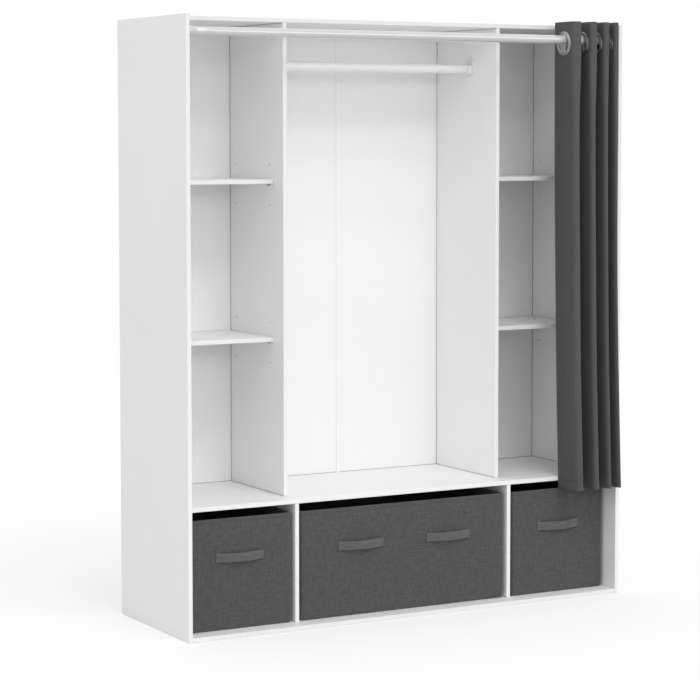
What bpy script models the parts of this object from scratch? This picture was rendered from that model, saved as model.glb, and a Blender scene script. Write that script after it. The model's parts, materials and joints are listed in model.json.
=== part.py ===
"""Curtain wardrobe: an open board carcass with three bays, adjustable side shelves, a clothes rail, three
fabric boxes and an eyelet curtain gathered on a rod. Metres, +Z up, front towards -Y, the origin on the
floor at the middle of the carcass."""

import math

import bmesh
import bpy
from mathutils import Matrix, Vector

# Clearances
SEAT_GAP = 0.0003  # between pieces that touch
CUT_OVERRUN = 0.002  # how far a cutter runs out past the face that it cuts

# Carcass
WIDTH = 1.40
DEPTH = 0.45
HEIGHT = 1.67
BOARD = 0.012
BOARD_EDGE = 0.0008  # eased edge of a board
SIDE_BAY = 0.3357  # clear width of the left and of the right bay
MIDDLE_SHELF_TOP = 0.3532
LOWER_SETBACK = 0.0513  # front of the middle shelf and the lower dividers, behind the side panels' fronts
UPPER_SETBACK = 0.118  # front of the upper dividers and the top panel

# Back
BACK_SHEET = 0.003
BACK_SHEET_INSET = 0.002  # from the carcass outline to the sheets' edges
STRIP_WIDTH = 0.013  # joint strip between the two back sheets
STRIP_SKIN = 0.0008
STRIP_WEB = 0.001

# Adjustable shelves and their pins
PIN_SIDES = 8
LOWER_BAY_SHELF_SHARE = 0.335  # of the clear height above the middle shelf, up to the shelf's top
UPPER_BAY_SHELF_SHARE = 0.671
BAY_SHELF_SETBACK = 0.176
BAY_SHELF_END_GAP = 0.001
BAY_SHELF_REAR_GAP = 0.002
PIN_FRONT_INSET = 0.024  # from a shelf's front edge to its front pins
PIN_REAR_INSET = 0.035
PIN_PITCH = 0.056  # between the holes of one group
PIN_HOLE_DEPTH = 0.009
PIN_RADIUS = 0.0025
PEG_RADIUS = 0.0032
PEG_LENGTH = 0.009
PEG_CHAMFER = 0.0008
HOLES_EACH_WAY = 1  # spare holes above and below the one in use

# Tubes and their sockets
TUBE_RADIUS = 0.0125
TUBE_WALL = 0.001
TUBE_SIDES = 24
CURTAIN_ROD_SETBACK = 0.0325
CURTAIN_ROD_DROP = 0.0445  # centre, below the top of the side panels
CLOTHES_RAIL_SETBACK = 0.258
CLOTHES_RAIL_DROP = 0.126
FLANGE = 0.004
FLANGE_EDGE = 0.001
ROD_FLANGE_RADIUS = 0.025
ROD_SLEEVE = 0.031  # reach from the side panel
ROD_SLEEVE_WALL = 0.0007
RAIL_FLANGE_RADIUS = 0.0255
RAIL_FLANGE_RISE = 0.006  # of the flange's centre above the rail's
RAIL_CUP = 0.016  # reach from the divider
RAIL_CUP_WALL = 0.0018
RAIL_CUP_HORN = 0.009  # height of the cup's arms above the rail's centre
RAIL_CUP_STEPS = 12

# Fabric boxes
BOX_SETBACK = 0.056
BOX_REAR_GAP = 0.0096
BOX_HEAD_GAP = 0.0234
BOX_SIDE_GAP = 0.009
BOX_WALL = 0.004
BOX_CORNER = 0.008
BOX_CORNER_STEPS = 3
BOX_FOOT = 0.005  # rounding of the bottom edge
BOX_HEM = 0.011
BOX_HEM_BULGE = 0.0006
BASE_BOARD = 0.003
BASE_BOARD_GAP = 0.0015

# Strap handles
HANDLE_LENGTH = 0.145
HANDLE_HEIGHT = 0.025
HANDLE_STRAP = 0.002
HANDLE_TAB = 0.01  # flat end, sewn to the box
HANDLE_BOW = 0.0095
HANDLE_SAG = 0.0012
HANDLE_HEIGHT_SHARE = 0.65  # of the box's height
HANDLE_PAIR_SHARE = 0.21  # of the middle bay's width, from its centre to either handle
HANDLE_STEPS = 14

# Curtain
CLOTH = 0.0012
EYELETS = 8
LAST_EYELET_GAP = 0.0079  # from the right side panel to the middle of the last eyelet
FIRST_PITCH = 0.033  # between the first two eyelets
PITCH_CLOSING_SHARE = 0.88  # each next pitch, of the one before it
FOLD_DEPTH = 0.092
FOLD_STEPS = 4
CURTAIN_HEADER = 0.0622  # above the eyelets' centres
CURTAIN_HEM_GAP = 0.0032  # between the hem and the boxes that pull out below it
CURTAIN_LEAN = 0.031  # how far the hem stands forward of the rod
LEAN_START = 0.06  # below the eyelets' centres
BODY_SHARES = (0.3, 0.55, 0.78, 1.0)  # heights of the cloth's rows, from the start of the lean to the hem

# Eyelets
EYELET_BORE = 0.025  # radius
EYELET_RADIUS = 0.0345
EYELET_MARGIN = 0.001  # flat cloth round an eyelet
EYELET_BARREL = 0.0015
EYELET_PLATE = 0.0012
EYELET_DOME = 0.0006
EYELET_SIDES = 20
CLOTH_HOLE_SIDES = 12
CLOTH_HOLE_CELLS = 3  # cells of flat cloth across an eyelet

# Finishes: colour, roughness, metallic
WHITE_BOARD = ((0.86, 0.86, 0.86, 1.0), 0.42, 0.0)
WHITE_HARDBOARD = ((0.84, 0.84, 0.83, 1.0), 0.5, 0.0)
WHITE_PLASTIC = ((0.88, 0.88, 0.87, 1.0), 0.35, 0.0)
BARE_CORE = ((0.62, 0.47, 0.3, 1.0), 0.7, 0.0)
ZINC = ((0.6, 0.61, 0.62, 1.0), 0.4, 1.0)
WHITE_TUBE = ((0.85, 0.85, 0.86, 1.0), 0.25, 0.2)
SATIN_STEEL = ((0.5, 0.5, 0.5, 1.0), 0.3, 1.0)
BOX_LINEN = ((0.09, 0.09, 0.09, 1.0), 0.9, 0.0)
STRAP_LINEN = ((0.13, 0.13, 0.13, 1.0), 0.85, 0.0)
GREY_BOARD = ((0.2, 0.2, 0.2, 1.0), 0.85, 0.0)
CURTAIN_GREY = ((0.07, 0.07, 0.075, 1.0), 0.85, 0.0)

# Planes that follow from the sizes above
FRONT = -DEPTH / 2
SHEET_REAR = DEPTH / 2 - STRIP_SKIN - SEAT_GAP
SHEET_FRONT = SHEET_REAR - BACK_SHEET
CARCASS_REAR = SHEET_FRONT - SEAT_GAP
INNER_X = WIDTH / 2 - BOARD
DIVIDER_OUTER_X = INNER_X - SIDE_BAY
DIVIDER_INNER_X = DIVIDER_OUTER_X - BOARD
TOP_UNDERSIDE = HEIGHT - BOARD
MIDDLE_SHELF_UNDERSIDE = MIDDLE_SHELF_TOP - BOARD
LOWER_FRONT = FRONT + LOWER_SETBACK
UPPER_FRONT = FRONT + UPPER_SETBACK
BAY_SHELF_FRONT = FRONT + BAY_SHELF_SETBACK
BAY_SHELF_REAR = CARCASS_REAR - BAY_SHELF_REAR_GAP
ROD_Y = FRONT + CURTAIN_ROD_SETBACK
ROD_Z = HEIGHT - CURTAIN_ROD_DROP
RAIL_Y = FRONT + CLOTHES_RAIL_SETBACK
RAIL_Z = HEIGHT - CLOTHES_RAIL_DROP
ROD_SLEEVE_RADIUS = TUBE_RADIUS + SEAT_GAP + ROD_SLEEVE_WALL
BOX_FRONT = FRONT + BOX_SETBACK
BOX_REAR = CARCASS_REAR - BOX_REAR_GAP
BOX_BOTTOM = BOARD + SEAT_GAP
BOX_RIM = MIDDLE_SHELF_UNDERSIDE - BOX_HEAD_GAP
EYELET_Z = ROD_Z + ROD_SLEEVE_RADIUS + SEAT_GAP - EYELET_BORE
CURTAIN_TOP = EYELET_Z + CURTAIN_HEADER
CURTAIN_HEM = BOX_RIM + CURTAIN_HEM_GAP
SIDES = {"left": -1, "right": 1}


def clear_scene():
    for old in list(bpy.data.objects):
        bpy.data.objects.remove(old)


def principled(name, finish):
    """A Principled material of one finish: colour, roughness and metallic."""
    colour, roughness, metallic = finish
    material = bpy.data.materials.new(name + "_finish")
    material.use_nodes = True
    shader = material.node_tree.nodes["Principled BSDF"]
    shader.inputs["Base Color"].default_value = colour
    shader.inputs["Roughness"].default_value = roughness
    shader.inputs["Metallic"].default_value = metallic
    material.diffuse_color = colour
    return material


def carrier(name, place):
    """An empty that carries the pieces of one moving group."""
    empty = bpy.data.objects.new(name, None)
    empty.location = place
    bpy.context.scene.collection.objects.link(empty)
    return empty


def add_object(name, shape, finish, parent=None, smooth=False):
    """Turns a bmesh in world places into an object whose origin is at its parent, or at the part's origin."""
    bmesh.ops.recalc_face_normals(shape, faces=shape.faces)
    mesh = bpy.data.meshes.new(name)
    shape.to_mesh(mesh)
    shape.free()
    piece = bpy.data.objects.new(name, mesh)
    bpy.context.scene.collection.objects.link(piece)
    mesh.materials.append(principled(name, finish))
    if smooth:
        mesh.shade_smooth()
        mesh.set_sharp_from_angle(angle=math.radians(40))
    if parent is not None:
        mesh.transform(Matrix.Translation(-parent.location))
        piece.parent = parent
    return piece


def add_helper(name, shape, finish):
    """A shape that is only cut from another piece or joined to it."""
    helper = add_object(name, shape, finish)
    helper.hide_render = True
    helper.display_type = "WIRE"
    return helper


def cut(piece, cutter):
    modifier = piece.modifiers.new(cutter.name, "BOOLEAN")
    modifier.operation = "DIFFERENCE"
    modifier.solver = "EXACT"
    modifier.object = cutter


def add_body(shape, loops, ring=False):
    """Skins loops of points into one closed body: capped at both ends or, as a ring, joined end to end."""
    rows = [[shape.verts.new(point) for point in loop] for loop in loops]
    pairs = list(zip(rows, rows[1:]))
    if ring:
        pairs.append((rows[-1], rows[0]))
    for low, high in pairs:
        for i in range(len(low)):
            j = (i + 1) % len(low)
            shape.faces.new((low[i], low[j], high[j], high[i]))
    if not ring:
        shape.faces.new(list(reversed(rows[0])))
        shape.faces.new(rows[-1])


def box_loops(low, high):
    """The two loops of an upright block between two corners."""
    return [
        [
            Vector((low[0], low[1], z)),
            Vector((high[0], low[1], z)),
            Vector((high[0], high[1], z)),
            Vector((low[0], high[1], z)),
        ]
        for z in (low[2], high[2])
    ]


def turned_loops(centre, axis, profile, sides):
    """Loops of a turned shape: each profile point is a distance along the axis and a radius."""
    turn = Vector((0, 0, 1)).rotation_difference(Vector(axis)).to_matrix()
    loops = []
    for along, radius in profile:
        loops.append([])
        for i in range(sides):
            angle = 2 * math.pi * i / sides
            spoke = Vector((radius * math.cos(angle), radius * math.sin(angle), along))
            loops[-1].append(Vector(centre) + turn @ spoke)
    return loops


def add_rod(shape, start, end, radius, sides):
    """A plain solid cylinder between two points."""
    run = Vector(end) - Vector(start)
    profile = [(0, radius), (run.length, radius)]
    add_body(shape, turned_loops(start, run.normalized(), profile, sides))


def board(name, low, high, holes=None):
    """A white board with eased edges, bored where it has holes."""
    shape = bmesh.new()
    add_body(shape, box_loops(low, high))
    piece = add_object(name, shape, WHITE_BOARD)
    edge = piece.modifiers.new("eased_edges", "BEVEL")
    edge.width = BOARD_EDGE
    edge.segments = 1
    edge.limit_method = "ANGLE"
    if holes is not None:
        cut(piece, holes)


def mirrored(low, high, side):
    """The corners of a block given for the right side, on the side asked for."""
    if side > 0:
        return low, high
    return (-high[0], low[1], low[2]), (-low[0], high[1], high[2])


def cross_boards():
    """Front and underside of the three boards that run between the side panels."""
    return {
        "bottom_panel": (FRONT, 0),
        "middle_shelf": (LOWER_FRONT, MIDDLE_SHELF_UNDERSIDE),
        "top_panel": (UPPER_FRONT, TOP_UNDERSIDE),
    }


def shelf_tops():
    """Heights of the tops of the two adjustable shelves in a side bay."""
    clear = TOP_UNDERSIDE - MIDDLE_SHELF_TOP
    return {
        "lower": MIDDLE_SHELF_TOP + clear * LOWER_BAY_SHELF_SHARE,
        "upper": MIDDLE_SHELF_TOP + clear * UPPER_BAY_SHELF_SHARE,
    }


def pin_places(shelf_top):
    """Depth and height of the four pins under a bay shelf, two at each end."""
    z = shelf_top - BOARD - SEAT_GAP - PEG_RADIUS
    return [(BAY_SHELF_FRONT + PIN_FRONT_INSET, z), (BAY_SHELF_REAR - PIN_REAR_INSET, z)]


def pin_hole_cutter():
    """Rows of pin holes in the faces of the side panels and upper dividers."""
    shape = bmesh.new()
    for side in SIDES.values():
        for wall, inward in ((INNER_X, 1), (DIVIDER_OUTER_X, -1)):
            for top in shelf_tops().values():
                for y, z in pin_places(top):
                    for step in range(-HOLES_EACH_WAY, HOLES_EACH_WAY + 1):
                        height = z + step * PIN_PITCH
                        mouth = (side * (wall - inward * CUT_OVERRUN), y, height)
                        bottom = (side * (wall + inward * PIN_HOLE_DEPTH), y, height)
                        add_rod(shape, mouth, bottom, PIN_RADIUS + SEAT_GAP, PIN_SIDES)
    return add_helper("pin_holes", shape, BARE_CORE)


def shelf_pins(name, side, shelf_top):
    """The four stepped pins that one bay shelf rests on, each pushed into a hole."""
    profile = [
        (SEAT_GAP - PIN_HOLE_DEPTH, PIN_RADIUS),
        (SEAT_GAP, PIN_RADIUS),
        (SEAT_GAP, PEG_RADIUS),
        (PEG_LENGTH - PEG_CHAMFER, PEG_RADIUS),
        (PEG_LENGTH, PEG_RADIUS - PEG_CHAMFER),
    ]
    for wall_name, wall, inward in (("outer", INNER_X, 1), ("inner", DIVIDER_OUTER_X, -1)):
        for place_name, (y, z) in zip(("front", "rear"), pin_places(shelf_top)):
            axis = (-side * inward, 0, 0)
            shape = bmesh.new()
            add_body(shape, turned_loops((side * wall, y, z), axis, profile, PIN_SIDES))
            add_object(f"{name}_{wall_name}_{place_name}", shape, ZINC, smooth=True)


def bay_shelves():
    for side_name, side in SIDES.items():
        for level, top in shelf_tops().items():
            low = (DIVIDER_OUTER_X + BAY_SHELF_END_GAP, BAY_SHELF_FRONT, top - BOARD)
            high = (INNER_X - BAY_SHELF_END_GAP, BAY_SHELF_REAR, top)
            board(f"bay_shelf_{side_name}_{level}", *mirrored(low, high, side))
            shelf_pins(f"shelf_pin_{side_name}_{level}", side, top)


def carcass():
    """Side panels, cross boards and dividers. The panels and upper dividers are bored for the shelf pins."""
    pin_holes = pin_hole_cutter()
    for name, (front, underside) in cross_boards().items():
        low = (SEAT_GAP - INNER_X, front, underside)
        high = (INNER_X - SEAT_GAP, CARCASS_REAR, underside + BOARD)
        board(name, low, high)
    for side_name, side in SIDES.items():
        low, high = mirrored((INNER_X, FRONT, 0), (WIDTH / 2, CARCASS_REAR, HEIGHT), side)
        board(f"side_panel_{side_name}", low, high, pin_holes)
        low = (DIVIDER_INNER_X, UPPER_FRONT, MIDDLE_SHELF_TOP + SEAT_GAP)
        high = (DIVIDER_OUTER_X, CARCASS_REAR, TOP_UNDERSIDE - SEAT_GAP)
        board(f"upper_divider_{side_name}", *mirrored(low, high, side), pin_holes)
        low = (DIVIDER_INNER_X, LOWER_FRONT, BOARD + SEAT_GAP)
        high = (DIVIDER_OUTER_X, CARCASS_REAR, MIDDLE_SHELF_UNDERSIDE - SEAT_GAP)
        board(f"lower_divider_{side_name}", *mirrored(low, high, side))


def back_sheets():
    for side_name, side in SIDES.items():
        low = (STRIP_WEB / 2 + SEAT_GAP, SHEET_FRONT, BACK_SHEET_INSET)
        high = (WIDTH / 2 - BACK_SHEET_INSET, SHEET_REAR, HEIGHT - BACK_SHEET_INSET)
        shape = bmesh.new()
        add_body(shape, box_loops(*mirrored(low, high, side)))
        add_object(f"back_sheet_{side_name}", shape, WHITE_HARDBOARD)


def back_joint_strip():
    """An H section that grips both sheets. Its front skin stops short of the boards that cross it."""
    front = SHEET_FRONT - SEAT_GAP
    rear = DEPTH / 2 - STRIP_SKIN
    half_web = STRIP_WEB / 2
    half = STRIP_WIDTH / 2
    outline = [
        (-half, front - STRIP_SKIN),
        (half, front - STRIP_SKIN),
        (half, front),
        (half_web, front),
        (half_web, rear),
        (half, rear),
        (half, rear + STRIP_SKIN),
        (-half, rear + STRIP_SKIN),
        (-half, rear),
        (-half_web, rear),
        (-half_web, front),
        (-half, front),
    ]
    shape = bmesh.new()
    heights = (BACK_SHEET_INSET, HEIGHT - BACK_SHEET_INSET)
    add_body(shape, [[Vector((x, y, z)) for x, y in outline] for z in heights])
    strip = add_object("back_joint_strip", shape, WHITE_PLASTIC)
    notches = bmesh.new()
    for _, underside in cross_boards().values():
        low = (-half - CUT_OVERRUN, front - STRIP_SKIN - CUT_OVERRUN, underside - SEAT_GAP)
        high = (half + CUT_OVERRUN, front, underside + BOARD + SEAT_GAP)
        add_body(notches, box_loops(low, high))
    cut(strip, add_helper("strip_notches", notches, WHITE_PLASTIC))


def tube(name, half_length, y, z):
    """A round tube along X, open at both ends."""
    bore = TUBE_RADIUS - TUBE_WALL
    length = 2 * half_length
    profile = [(0, bore), (0, TUBE_RADIUS), (length, TUBE_RADIUS), (length, bore)]
    shape = bmesh.new()
    add_body(shape, turned_loops((-half_length, y, z), (1, 0, 0), profile, TUBE_SIDES), ring=True)
    add_object(name, shape, WHITE_TUBE, smooth=True)


def flange_profile(radius):
    """A round flange with an eased rim, from the board's face outwards."""
    return [(SEAT_GAP, radius), (FLANGE - FLANGE_EDGE, radius), (FLANGE, radius - FLANGE_EDGE)]


def curtain_rod_socket(side_name, side):
    """A flange on a side panel's inner face, with a long sleeve round the end of the rod."""
    bore = TUBE_RADIUS + SEAT_GAP
    profile = flange_profile(ROD_FLANGE_RADIUS)
    profile += [(reach, ROD_SLEEVE_RADIUS) for reach in (FLANGE, ROD_SLEEVE)]
    profile += [(reach, bore) for reach in (ROD_SLEEVE, FLANGE)]
    place = (side * INNER_X, ROD_Y, ROD_Z)
    shape = bmesh.new()
    add_body(shape, turned_loops(place, (-side, 0, 0), profile, TUBE_SIDES))
    add_object(f"curtain_rod_socket_{side_name}", shape, WHITE_PLASTIC, smooth=True)


def rail_cup_outline():
    """The open-topped cup seen along the rail, as (y, height above the rail's centre)."""
    bore = TUBE_RADIUS + SEAT_GAP
    outer = bore + RAIL_CUP_WALL
    angles = [math.pi * (1 + step / RAIL_CUP_STEPS) for step in range(RAIL_CUP_STEPS + 1)]
    outside = [(outer * math.cos(angle), outer * math.sin(angle)) for angle in angles]
    inside = [(bore * math.cos(angle), bore * math.sin(angle)) for angle in reversed(angles)]
    return [(-outer, RAIL_CUP_HORN)] + outside + [(outer, RAIL_CUP_HORN), (bore, RAIL_CUP_HORN)] + inside + [
        (-bore, RAIL_CUP_HORN)
    ]


def clothes_rail_socket(side_name, side):
    """A flange on an upper divider's inner face, with a cup that the rail is laid into from above."""
    place = (side * DIVIDER_INNER_X, RAIL_Y, RAIL_Z + RAIL_FLANGE_RISE)
    shape = bmesh.new()
    add_body(shape, turned_loops(place, (-side, 0, 0), flange_profile(RAIL_FLANGE_RADIUS), TUBE_SIDES))
    socket = add_object(f"clothes_rail_socket_{side_name}", shape, WHITE_PLASTIC, smooth=True)
    cup = bmesh.new()
    reaches = (FLANGE - FLANGE_EDGE, RAIL_CUP)
    loops = [
        [
            Vector((side * (DIVIDER_INNER_X - reach), RAIL_Y + y, RAIL_Z + z))
            for y, z in rail_cup_outline()
        ]
        for reach in reaches
    ]
    add_body(cup, loops)
    join = socket.modifiers.new("cup", "BOOLEAN")
    join.operation = "UNION"
    join.solver = "EXACT"
    join.object = add_helper(f"clothes_rail_cup_{side_name}", cup, WHITE_PLASTIC)


def tubes():
    """The curtain rod between the side panels, and the clothes rail between the upper dividers."""
    end_gap = FLANGE + SEAT_GAP
    tube("curtain_rod", INNER_X - end_gap, ROD_Y, ROD_Z)
    tube("clothes_rail", DIVIDER_INNER_X - end_gap, RAIL_Y, RAIL_Z)
    for side_name, side in SIDES.items():
        curtain_rod_socket(side_name, side)
        clothes_rail_socket(side_name, side)


def rounded_outline(centre, half_width, half_depth, radius, z):
    """A rectangle with round corners, as a loop of points at one height."""
    points = []
    for quarter, (across, back) in enumerate(((1, 1), (-1, 1), (-1, -1), (1, -1))):
        x = centre[0] + across * (half_width - radius)
        y = centre[1] + back * (half_depth - radius)
        for step in range(BOX_CORNER_STEPS + 1):
            angle = math.pi / 2 * (quarter + step / BOX_CORNER_STEPS)
            points.append(Vector((x + radius * math.cos(angle), y + radius * math.sin(angle), z)))
    return points


def box_shell(name, centre, half_width, parent):
    """Fabric over board: four walls and a floor in one skin, with a rounded foot and a hemmed rim."""
    half_depth = (BOX_REAR - BOX_FRONT) / 2
    hem = BOX_RIM - BOX_HEM
    foot_inset = BOX_FOOT * (1 - math.cos(math.pi / 4))
    steps = (
        (BOX_FOOT, BOX_BOTTOM),
        (foot_inset, BOX_BOTTOM + foot_inset),
        (0, BOX_BOTTOM + BOX_FOOT),
        (0, hem),
        (-BOX_HEM_BULGE, hem + BOX_HEM_BULGE),
        (-BOX_HEM_BULGE, BOX_RIM - BOX_HEM_BULGE),
        (0, BOX_RIM),
        (BOX_WALL, BOX_RIM),
        (BOX_WALL, BOX_BOTTOM + BOX_WALL),
    )
    loops = []
    for inset, z in steps:
        radius = max(BOX_CORNER - inset, BOX_CORNER - BOX_WALL)
        loops.append(rounded_outline(centre, half_width - inset, half_depth - inset, radius, z))
    shape = bmesh.new()
    add_body(shape, loops)
    add_object(name, shape, BOX_LINEN, parent, smooth=True)


def base_board(name, centre, half_width, parent):
    """The loose stiffening board in the bottom of a box."""
    inset = BOX_WALL + BASE_BOARD_GAP
    half_depth = (BOX_REAR - BOX_FRONT) / 2 - inset
    low_z = BOX_BOTTOM + BOX_WALL + SEAT_GAP
    radius = BOX_CORNER - BOX_WALL
    loops = [
        rounded_outline(centre, half_width - inset, half_depth, radius, z)
        for z in (low_z, low_z + BASE_BOARD)
    ]
    shape = bmesh.new()
    add_body(shape, loops)
    add_object(name, shape, GREY_BOARD, parent)


def strap_handle(name, x, parent):
    """A flat strap sewn on at both ends and bowed out between them."""
    free = HANDLE_LENGTH - 2 * HANDLE_TAB
    sewn = BOX_BOTTOM + (BOX_RIM - BOX_BOTTOM) * HANDLE_HEIGHT_SHARE
    stations = [-HANDLE_LENGTH / 2]
    stations += [free * (step / HANDLE_STEPS - 1 / 2) for step in range(HANDLE_STEPS + 1)]
    stations.append(HANDLE_LENGTH / 2)
    loops = []
    for along in stations:
        rise = HANDLE_BOW * max(0, 1 - (2 * along / free) ** 2)
        inner = BOX_FRONT - SEAT_GAP - rise
        middle = sewn - HANDLE_SAG * rise / HANDLE_BOW
        corners = (
            (inner, -HANDLE_HEIGHT / 2),
            (inner - HANDLE_STRAP, -HANDLE_HEIGHT / 2),
            (inner - HANDLE_STRAP, HANDLE_HEIGHT / 2),
            (inner, HANDLE_HEIGHT / 2),
        )
        loops.append([Vector((x + along, y, middle + z)) for y, z in corners])
    shape = bmesh.new()
    add_body(shape, loops)
    add_object(name, shape, STRAP_LINEN, parent)


def fabric_box(name, centre_x, bay_width, handles):
    """One box that pulls out towards the front: shell, base board and strap handles."""
    half_width = bay_width / 2 - BOX_SIDE_GAP
    centre = (centre_x, (BOX_FRONT + BOX_REAR) / 2)
    parent = carrier(f"{name}_carrier", (centre_x, BOX_FRONT, BOX_BOTTOM))
    box_shell(f"{name}_shell", centre, half_width, parent)
    base_board(f"{name}_base_board", centre, half_width, parent)
    for handle_name, offset in handles.items():
        strap_handle(f"{name}_{handle_name}", centre_x + offset, parent)


def fabric_boxes():
    side_x = DIVIDER_OUTER_X + SIDE_BAY / 2
    fabric_box("box_left", -side_x, SIDE_BAY, {"handle": 0})
    fabric_box("box_right", side_x, SIDE_BAY, {"handle": 0})
    middle_bay = 2 * DIVIDER_INNER_X
    pair = {f"handle_{name}": side * middle_bay * HANDLE_PAIR_SHARE for name, side in SIDES.items()}
    fabric_box("box_centre", 0, middle_bay, pair)


def eyelet_places():
    """The x of each eyelet, from the leading edge to the right side panel, where the folds close up."""
    pitches = [FIRST_PITCH * PITCH_CLOSING_SHARE**step for step in range(EYELETS - 1)]
    last = INNER_X - LAST_EYELET_GAP
    return [last - sum(pitches[step:]) for step in range(EYELETS)]


def eyelet(number, x, parent):
    """Two plates joined by a barrel, which grip the edge of the cloth's hole."""
    slot = CLOTH / 2 + SEAT_GAP
    face = slot + EYELET_PLATE
    barrel = EYELET_BORE + EYELET_BARREL
    crown = (EYELET_BORE + EYELET_RADIUS) / 2
    half = [
        (face - EYELET_DOME, EYELET_BORE),
        (face + EYELET_DOME, crown),
        (slot + EYELET_DOME, EYELET_RADIUS),
        (slot, EYELET_RADIUS - EYELET_DOME),
        (slot, barrel),
    ]
    profile = half + [(-along, radius) for along, radius in reversed(half)]
    shape = bmesh.new()
    loops = turned_loops((x, ROD_Y, EYELET_Z), (1, 0, 0), profile, EYELET_SIDES)
    add_body(shape, loops, ring=True)
    add_object(f"curtain_eyelet_{number}", shape, SATIN_STEEL, parent, smooth=True)


def cloth_columns(places):
    """The cloth seen from above: points (x, distance behind the rod), and where each flank starts."""
    flat = EYELET_RADIUS + EYELET_MARGIN
    columns = [(places[0], FOLD_DEPTH / 2)]
    starts = []
    for number, x in enumerate(places):
        to_back = -1 if number % 2 == 0 else 1
        starts.append(len(columns))
        for cell in range(CLOTH_HOLE_CELLS + 1):
            columns.append((x, to_back * flat * (2 * cell / CLOTH_HOLE_CELLS - 1)))
        if number == len(places) - 1:
            continue
        half_pitch = (places[number + 1] - x) / 2
        for step in range(1, FOLD_STEPS):
            angle = math.pi * step / FOLD_STEPS
            reach = flat + (FOLD_DEPTH / 2 - flat) * math.sin(angle)
            columns.append((x + half_pitch * (1 - math.cos(angle)), to_back * reach))
    columns.append((places[-1], FOLD_DEPTH / 2))
    return columns, starts


def cloth_rows():
    """Heights of the cloth's rows: the top edge, those round the eyelets, and those down to the hem."""
    flat = EYELET_RADIUS + EYELET_MARGIN
    rows = [CURTAIN_TOP]
    rows += [EYELET_Z + flat * (1 - 2 * cell / CLOTH_HOLE_CELLS) for cell in range(CLOTH_HOLE_CELLS + 1)]
    lean_from = EYELET_Z - LEAN_START
    rows += [lean_from + (CURTAIN_HEM - lean_from) * share for share in BODY_SHARES]
    return rows


def cloth_point(column, z):
    """The cloth hangs straight below the eyelets, then leans forward over the middle shelf's front edge."""
    lean_from = EYELET_Z - LEAN_START
    drop = max(0, (lean_from - z) / (lean_from - CURTAIN_HEM))
    return Vector((column[0], ROD_Y + column[1] - CURTAIN_LEAN * drop**2, z))


def add_eyelet_hole(shape, grid, start, column):
    """Joins the edge of a flat patch of cloth to the round hole in its middle."""
    last = CLOTH_HOLE_CELLS
    edge = [grid[1][start + cell] for cell in range(last)]
    edge += [grid[1 + cell][start + last] for cell in range(last)]
    edge += [grid[1 + last][start + last - cell] for cell in range(last)]
    edge += [grid[1 + last - cell][start] for cell in range(last)]
    barrel = EYELET_BORE + EYELET_BARREL
    radius = (barrel + SEAT_GAP) / math.cos(math.pi / CLOTH_HOLE_SIDES)
    centre = Vector((column[0], ROD_Y, EYELET_Z))
    hole = []
    for corner in edge:
        spoke = corner.co - centre
        step = 2 * math.pi / CLOTH_HOLE_SIDES
        angle = (math.floor(math.atan2(spoke.z, spoke.y) / step) + 1 / 2) * step
        hole.append(shape.verts.new(centre + radius * Vector((0, math.cos(angle), math.sin(angle)))))
    for i in range(len(edge)):
        j = (i + 1) % len(edge)
        shape.faces.new((edge[i], edge[j], hole[j], hole[i]))


def curtain_cloth(places, parent):
    """One sheet in deep folds, pierced by its eyelets."""
    columns, starts = cloth_columns(places)
    rows = cloth_rows()
    shape = bmesh.new()
    patch = set()
    for start in starts:
        for row in range(1, 1 + CLOTH_HOLE_CELLS):
            patch.update((row, start + cell) for cell in range(CLOTH_HOLE_CELLS))
    grid = [[shape.verts.new(cloth_point(column, z)) for column in columns] for z in rows]
    for row in range(len(rows) - 1):
        for i in range(len(columns) - 1):
            if (row, i) in patch:
                continue
            corners = (grid[row][i], grid[row][i + 1], grid[row + 1][i + 1], grid[row + 1][i])
            shape.faces.new(corners)
    for start in starts:
        add_eyelet_hole(shape, grid, start, columns[start])
    loose = [vert for vert in shape.verts if not vert.link_faces]
    bmesh.ops.delete(shape, geom=loose, context="VERTS")
    cloth = add_object("curtain_cloth", shape, CURTAIN_GREY, parent, smooth=True)
    thickness = cloth.modifiers.new("cloth_thickness", "SOLIDIFY")
    thickness.thickness = CLOTH
    thickness.offset = 0


def curtain():
    """The gathered curtain. The last eyelet and the cloth share a carrier; every other eyelet has its own."""
    places = eyelet_places()
    tail = carrier("curtain_tail_carrier", (places[-1], ROD_Y, ROD_Z))
    curtain_cloth(places, tail)
    for number, x in enumerate(places, start=1):
        own = tail
        if number < EYELETS:
            own = carrier(f"curtain_eyelet_{number}_carrier", (x, ROD_Y, ROD_Z))
        eyelet(number, x, own)


def main():
    clear_scene()
    carcass()
    bay_shelves()
    back_sheets()
    back_joint_strip()
    tubes()
    fabric_boxes()
    curtain()


main()
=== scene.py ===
"""Looks of the curtain wardrobe: materials, and finer forms of its cloth, boxes, tubes and fittings."""

import json
from contextlib import contextmanager
from math import asin, copysign, cos, dist, pi, radians, sin, tau

import bmesh
import bpy
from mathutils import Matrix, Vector, noise

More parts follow.
